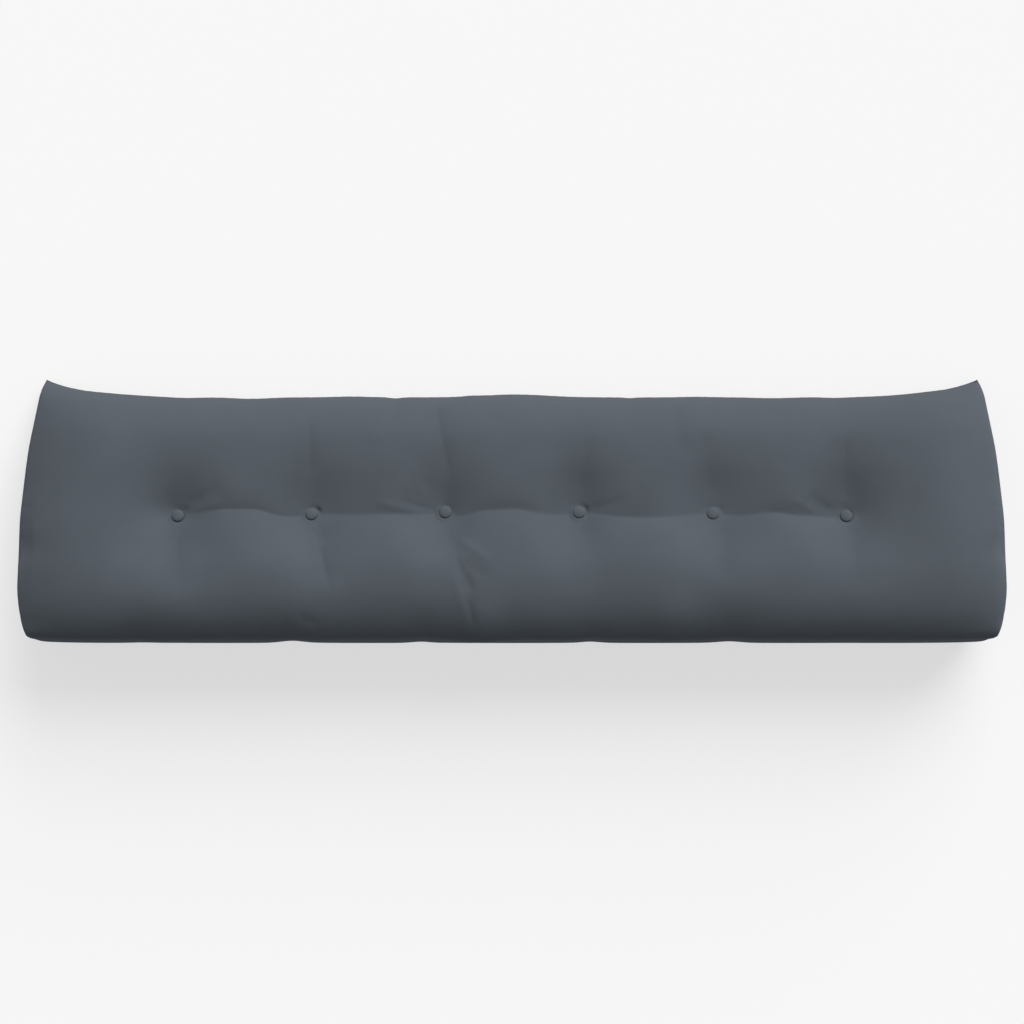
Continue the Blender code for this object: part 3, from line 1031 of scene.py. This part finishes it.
def finish_cover(mesh, settings):
    """Cut the folds, the seams and their gathers into the filled cover."""
    points = points_of(mesh)
    normals = points_of(mesh, "normal")
    x, y = points[:, 0], points[:, 1]
    row_gap, side_gap = column(mesh, "row_gap"), column(mesh, "side_gap")
    distance, beside = from_button(x, y), y - nearest_button(x)
    front = column(mesh, "front")
    held = front * smooth_step(seam_gap(mesh) / FOLD_SEAM_FADE) * settings.fold_strength
    folds, lumps = face_folds(x, y) * held, face_lumps(x, y) * held
    beneath = smooth_step(0.5 - 0.5 * beside / np.maximum(distance, 1e-6))
    lip = np.exp(-(((distance - LIP_RADIUS) / LIP_WIDTH) ** 2)) * beneath * front
    seam = np.exp(-row_gap / SEAM_SPREAD) + np.exp(-side_gap / SEAM_SPREAD)
    seam = settings.seam_depth * np.minimum(seam, 1.0)
    gathers = np.exp(-row_gap / PUCKER_REACH) * puckers(x)
    gathers += np.exp(-side_gap / PUCKER_REACH) * puckers(column(mesh, "round"))
    gathers *= settings.pucker_depth
    points -= normals * (folds + lumps + seam + gathers)[:, None]
    seat = front * (1.0 - smooth_step((distance - SEAT_RADIUS) / SEAT_ROUNDING))
    level = seat_heights(settings)[nearest_index(x)] - beside * math.tan(FACE_TILT)
    points[:, 2] += (level - points[:, 2]) * seat + settings.lip_rise * lip
    points[:, 2] = np.maximum(points[:, 2], 0.0)
    set_points(mesh, points)
    # A band along the seams that is painted lighter, partly wear and partly a painted rim
    # highlight.
    set_column(mesh, "wear_and_rim_highlight", np.exp(-((seam_gap(mesh) / WEAR_AND_RIM_HIGHLIGHT_REACH) ** 2)))
    # Painted shade: how far the folds and gathers darken the cloth's colour.
    set_column(mesh, "painted_fold_shade", np.clip((folds + gathers) / PAINTED_FOLD_SHADE_DEPTH, 0.0, 1.0))
    for name in COLUMNS:
        mesh.attributes.remove(mesh.attributes[name])


def set_inputs(node, values):
    """Set a node's named inputs to plain values."""
    for name, value in values.items():
        node.inputs[name].default_value = value


def feed(tree, socket, value):
    """Set a node's input to a plain value, or link it from another node's output."""
    if isinstance(value, bpy.types.NodeSocket):
        tree.links.new(value, socket)
    else:
        socket.default_value = value


def add_node(tree, kind, **sockets):
    """A node, with its named inputs fed."""
    node = tree.nodes.new(kind)
    for name, value in sockets.items():
        feed(tree, node.inputs[name], value)
    return node


def add_math(tree, operation, *values):
    """A Math node's result."""
    node = tree.nodes.new("ShaderNodeMath")
    node.operation = operation
    for socket, value in zip(node.inputs, values):
        feed(tree, socket, value)
    return node.outputs[0]


def add_mottle(tree, place, mottle):
    """A noise over the cloth, and the tone that it gives, which is 1 where the noise is 0.5."""
    node = add_node(
        tree,
        "ShaderNodeTexNoise",
        Vector=place,
        Scale=mottle.scale,
        Detail=mottle.detail,
        Roughness=mottle.roughness,
    )
    noise = node.outputs["Fac"]
    return noise, add_math(tree, "MULTIPLY_ADD", noise, mottle.amount, 1.0 - mottle.amount / 2)


def stored(tree, name):
    """The number that the mesh stores for each point under a name."""
    node = tree.nodes.new("ShaderNodeAttribute")
    node.attribute_name = name
    return node.outputs["Fac"]


def cloth_material(name, colour, weave_from):
    """Soft brushed cloth: a fine weave under a short nap, mottled; on the cover, lighter along its
    seams as wear and painted rim highlight, with painted shade in its folds.
    """
    material = bpy.data.materials.new(name)
    material.use_nodes = True
    tree = material.node_tree
    shader = tree.nodes["Principled BSDF"]
    place = add_node(tree, "ShaderNodeTexCoord").outputs["Object"]
    cloth = place
    if weave_from:
        uv = tree.nodes.new("ShaderNodeUVMap")
        uv.uv_map = weave_from
        cloth = uv.outputs["UV"]
    nap, tone = add_mottle(tree, place, NAP)
    patches, patch_tone = add_mottle(tree, place, PATCHES)
    cloud_tone = add_mottle(tree, place, CLOUDS)[1]
    across = add_node(tree, "ShaderNodeSeparateXYZ", Vector=cloth)
    threads = []
    for axis in ("X", "Y"):
        turn = add_math(tree, "MULTIPLY", across.outputs[axis], 2 * math.pi / THREAD)
        threads.append(add_math(tree, "SINE", turn))
    weave = add_math(tree, "MULTIPLY", *threads)
    changes = [patch_tone, cloud_tone, add_math(tree, "MULTIPLY_ADD", weave, WEAVE_TONE, 1.0)]
    if weave_from:
        # Lighter along the seams: partly wear, partly a painted rim highlight.
        worn_and_highlit = add_math(tree, "MULTIPLY_ADD", stored(tree, "wear_and_rim_highlight"), WEAR_AND_RIM_HIGHLIGHT_TONE, 1.0)
        # Painted shade that darkens the folds and gathers.
        fold_shaded = add_math(tree, "MULTIPLY_ADD", stored(tree, "painted_fold_shade"), PAINTED_FOLD_SHADE_TONE, 1.0)
        changes.append(add_math(tree, "MULTIPLY", worn_and_highlit, fold_shaded))
    for change in changes:
        tone = add_math(tree, "MULTIPLY", tone, change)
    scaled = tree.nodes.new("ShaderNodeVectorMath")
    scaled.operation = "SCALE"
    scaled.inputs[0].default_value = colour
    tree.links.new(tone, scaled.inputs["Scale"])
    tree.links.new(scaled.outputs[0], shader.inputs["Base Color"])
    roughness = add_math(tree, "MULTIPLY_ADD", nap, ROUGHNESS_CHANGE, ROUGHNESS)
    tree.links.new(roughness, shader.inputs["Roughness"])
    height = add_math(tree, "MULTIPLY_ADD", weave, WEAVE_RELIEF, nap)
    height = add_math(tree, "MULTIPLY_ADD", patches, PATCH_RELIEF, height)
    bump = add_node(
        tree, "ShaderNodeBump", Strength=RELIEF_STRENGTH, Distance=RELIEF_DEPTH, Height=height
    )
    tree.links.new(bump.outputs["Normal"], shader.inputs["Normal"])
    set_inputs(shader, CLOTH_FINISH)
    return material


def link(thing):
    """Put an object in the scene."""
    bpy.context.scene.collection.objects.link(thing)
    return thing


def make_cover(settings):
    """The filled cover, in the place of the plain cushion."""
    grid = CoverGrid()
    piece = link(bpy.data.objects.new("cover", cover_mesh(grid)))
    fill_cover(piece, grid, settings)
    start = piece.data
    piece.data = subdivided(piece)
    bpy.data.meshes.remove(start)
    finish_cover(piece.data, settings)
    piece.data.shade_smooth()
    piece.data.materials.append(cloth_material("cover_cloth", settings.colour, "cloth"))
    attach(piece, "root")
    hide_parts("cushion")
    return piece


def new_tree(name, inputs):
    """A Geometry Nodes tree with a geometry input and named inputs for its sizes."""
    tree = bpy.data.node_groups.new(name, "GeometryNodeTree")
    tree.interface.new_socket("Geometry", in_out="INPUT", socket_type="NodeSocketGeometry")
    tree.interface.new_socket("Geometry", in_out="OUTPUT", socket_type="NodeSocketGeometry")
    for label, kind in inputs:
        tree.interface.new_socket(label, in_out="INPUT", socket_type=kind)
    return tree


def button_tree():
    """A covered button on each point: a domed disc with its cloth gathered round the rim."""
    tree = new_tree(
        "CoveredButtons",
        (
            ("Radius", "NodeSocketFloat"),
            ("Dome", "NodeSocketFloat"),
            ("Underside", "NodeSocketFloat"),
            ("Pleats", "NodeSocketInt"),
            ("Pleat Depth", "NodeSocketFloat"),
            ("Tilt", "NodeSocketFloat"),
            ("Lean", "NodeSocketFloat"),
            ("Seed", "NodeSocketInt"),
            ("Material", "NodeSocketMaterial"),
        ),
    )
    size = tree.nodes.new("NodeGroupInput").outputs
    ball = add_node(
        tree,
        "GeometryNodeMeshUVSphere",
        Segments=BUTTON_SEGMENTS,
        Rings=BUTTON_RINGS,
        Radius=1.0,
    )
    place = add_node(tree, "GeometryNodeInputPosition").outputs[0]
    part = add_node(tree, "ShaderNodeSeparateXYZ", Vector=place).outputs
    turn = add_math(tree, "ARCTAN2", part["Y"], part["X"])
    ripple = add_math(tree, "COSINE", add_math(tree, "MULTIPLY", turn, size["Pleats"]))
    near_rim = add_math(tree, "SUBTRACT", PLEATS_BELOW, part["Z"])
    near_rim = add_math(tree, "MINIMUM", add_math(tree, "MAXIMUM", near_rim, 0.0), 1.0)
    pleat = add_math(tree, "MULTIPLY", ripple, near_rim)
    pleat = add_math(tree, "MULTIPLY", pleat, size["Pleat Depth"])
    radius = add_math(tree, "ADD", size["Radius"], pleat)
    above = add_math(tree, "MAXIMUM", part["Z"], 0.0)
    above = add_math(tree, "MULTIPLY", above, size["Dome"])
    below = add_math(tree, "MINIMUM", part["Z"], 0.0)
    below = add_math(tree, "MULTIPLY", below, size["Underside"])
    height = add_math(tree, "ADD", add_math(tree, "ADD", above, below), size["Underside"])
    moved = add_node(
        tree,
        "ShaderNodeCombineXYZ",
        X=add_math(tree, "MULTIPLY", part["X"], radius),
        Y=add_math(tree, "MULTIPLY", part["Y"], radius),
        Z=height,
    )
    shaped = add_node(
        tree, "GeometryNodeSetPosition", Geometry=ball.outputs["Mesh"], Position=moved.outputs[0]
    )
    smooth = add_node(tree, "GeometryNodeSetShadeSmooth", Geometry=shaped.outputs[0])
    # Each button is turned by a random angle. Input 3 and output 1 are the node's numbers.
    spin = add_node(tree, "FunctionNodeRandomValue", Seed=size["Seed"])
    spin.data_type = "FLOAT"
    spin.inputs[3].default_value = 2 * math.pi
    lean = add_node(tree, "ShaderNodeCombineXYZ", X=size["Tilt"], Y=size["Lean"])
    instances = add_node(
        tree,
        "GeometryNodeInstanceOnPoints",
        Points=size["Geometry"],
        Instance=smooth.outputs[0],
        Rotation=lean.outputs[0],
    )
    turned = add_node(tree, "ShaderNodeCombineXYZ", Z=spin.outputs[1])
    spun = add_node(
        tree,
        "GeometryNodeRotateInstances",
        Instances=instances.outputs[0],
        Rotation=turned.outputs[0],
    )
    real = add_node(tree, "GeometryNodeRealizeInstances", Geometry=spun.outputs[0])
    dressed = add_node(
        tree, "GeometryNodeSetMaterial", Geometry=real.outputs[0], Material=size["Material"]
    )
    out = tree.nodes.new("NodeGroupOutput")
    tree.links.new(dressed.outputs[0], out.inputs[0])
    return tree


def run_tree(name, points, tree, values):
    """A plain mesh piece, made by a Geometry Nodes tree on the given points."""
    carrier = bpy.data.meshes.new(name + "_points")
    carrier.from_pydata(points, [], [])
    piece = link(bpy.data.objects.new(name, carrier))
    nodes = piece.modifiers.new("Nodes", "NODES")
    nodes.node_group = tree
    for socket in tree.interface.items_tree:
        if socket.in_out == "INPUT" and socket.name in values:
            nodes[socket.identifier] = values[socket.name]
    graph = bpy.context.evaluated_depsgraph_get()
    made = bpy.data.meshes.new_from_object(piece.evaluated_get(graph), depsgraph=graph)
    piece.modifiers.clear()
    made.name = name
    piece.data = made
    bpy.data.meshes.remove(carrier)
    return piece


def make_buttons(settings, heights):
    """The row of covered buttons on their seats, in the place of the plain ones."""
    lift = FACE_NORMAL * BUTTON_GAP
    places = [tuple(Vector(seat) + lift) for seat in zip(BUTTON_XS, BUTTON_YS, heights)]
    values = {
        "Radius": settings.radius,
        "Dome": settings.dome,
        "Underside": settings.underside,
        "Pleats": settings.pleats,
        "Pleat Depth": settings.pleat_depth,
        "Tilt": -FACE_TILT - BUTTON_PROUD,
        "Lean": -BUTTON_LEAN,
        "Seed": BUTTON_SEED,
        "Material": cloth_material("button_cloth", settings.colour, None),
    }
    piece = run_tree("buttons", places, button_tree(), values)
    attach(piece, "root")
    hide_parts(*BUTTONS)
    return piece


def make_floor(settings):
    """A plain pale floor that glows a little, and sends no light back up at the cushion."""
    mesh = bpy.data.meshes.new("floor")
    corners = [(x * FLOOR_HALF, y * FLOOR_HALF, 0.0) for x, y in FLOOR_CORNERS]
    mesh.from_pydata(corners, [], [(0, 1, 2, 3)])
    floor = link(bpy.data.objects.new("floor", mesh))
    material = bpy.data.materials.new("floor_paint")
    material.use_nodes = True
    shader = material.node_tree.nodes["Principled BSDF"]
    set_inputs(shader, FLOOR_FINISH)
    shader.inputs["Base Color"].default_value = (*settings.floor_colour, 1.0)
    shader.inputs["Emission Strength"].default_value = settings.floor_glow
    mesh.materials.append(material)
    floor.visible_diffuse = False
    floor.visible_glossy = False


def make_lights(settings):
    """One wide soft light from the top edge's side, an even fill and a pale wall behind."""
    key = bpy.data.lights.new("key", "SUN")
    key.energy = settings.key_strength
    key.angle = settings.key_spread
    lamp = link(bpy.data.objects.new("key", key))
    lamp.rotation_euler = Vector(LIGHT_FROM).to_track_quat("Z", "Y").to_euler()
    world = bpy.data.worlds.new("studio")
    world.use_nodes = True
    tree = world.node_tree
    sky = tree.nodes["Background"]
    set_inputs(sky, {"Color": WHITE, "Strength": settings.fill_strength})
    wall = add_node(tree, "ShaderNodeBackground", Color=WHITE, Strength=WALL_GLOW)
    seen = add_node(tree, "ShaderNodeLightPath").outputs["Is Camera Ray"]
    both = tree.nodes.new("ShaderNodeMixShader")
    tree.links.new(seen, both.inputs[0])
    tree.links.new(sky.outputs[0], both.inputs[1])
    tree.links.new(wall.outputs[0], both.inputs[2])
    tree.links.new(both.outputs[0], tree.nodes["World Output"].inputs["Surface"])
    bpy.context.scene.world = world


def make_camera(settings):
    """The camera, straight over the cushion's middle, with the top edge at the picture's top."""
    data = bpy.data.cameras.new("camera")
    data.lens = settings.lens
    data.sensor_width = SENSOR_WIDTH
    camera = link(bpy.data.objects.new("camera", data))
    camera.location = (0.0, CAMERA_Y, settings.camera_height)
    bpy.context.scene.camera = camera


class CUSHION_OT_stage(bpy.types.Operator):
    """Make the floor, the lights and the camera"""

    bl_idname = "cushion.make_stage"
    bl_label = "Make Stage"

    def execute(self, context):
        settings = context.scene.cushion_stage
        make_camera(settings)
        make_lights(settings)
        make_floor(settings)
        context.scene.view_settings.view_transform = "Standard"
        return {"FINISHED"}


class CUSHION_OT_cover(bpy.types.Operator):
    """Make the filled cover with its seams and folds"""

    bl_idname = "cushion.make_cover"
    bl_label = "Make Cover"

    def execute(self, context):
        make_cover(context.scene.cushion_cover)
        return {"FINISHED"}


class CUSHION_OT_buttons(bpy.types.Operator):
    """Make the row of covered buttons"""

    bl_idname = "cushion.make_buttons"
    bl_label = "Make Buttons"

    def execute(self, context):
        scene = context.scene
        make_buttons(scene.cushion_buttons, seat_heights(scene.cushion_cover))
        return {"FINISHED"}


class CUSHION_PT_panel(bpy.types.Panel):
    """The cushion's sizes, colours and makers"""

    bl_idname = "CUSHION_PT_panel"
    bl_label = "Back Cushion"
    bl_space_type = "VIEW_3D"
    bl_region_type = "UI"
    bl_category = "Cushion"

    def draw(self, context):
        for name, operator in MAKERS:
            box = self.layout.box()
            settings = getattr(context.scene, name)
            for field in type(settings).__annotations__:
                box.prop(settings, field)
            box.operator(operator.bl_idname)


GROUPS = (
    ("cushion_stage", StageSettings),
    ("cushion_cover", CoverSettings),
    ("cushion_buttons", ButtonSettings),
)
MAKERS = (
    ("cushion_stage", CUSHION_OT_stage),
    ("cushion_cover", CUSHION_OT_cover),
    ("cushion_buttons", CUSHION_OT_buttons),
)


def register():
    """Register the classes and hang their settings on the scene."""
    for name, group in GROUPS:
        bpy.utils.register_class(group)
        setattr(bpy.types.Scene, name, PointerProperty(type=group))
    for _, operator in MAKERS:
        bpy.utils.register_class(operator)
    bpy.utils.register_class(CUSHION_PT_panel)


def unregister():
    """Take the classes and their settings away again."""
    bpy.utils.unregister_class(CUSHION_PT_panel)
    for _, operator in reversed(MAKERS):
        bpy.utils.unregister_class(operator)
    for name, group in reversed(GROUPS):
        delattr(bpy.types.Scene, name)
        bpy.utils.unregister_class(group)


def main():
    """Make the cushion on its stage."""
    register()
    bpy.ops.cushion.make_stage()
    bpy.ops.cushion.make_cover()
    bpy.ops.cushion.make_buttons()


if __name__ == "__main__":
    main()
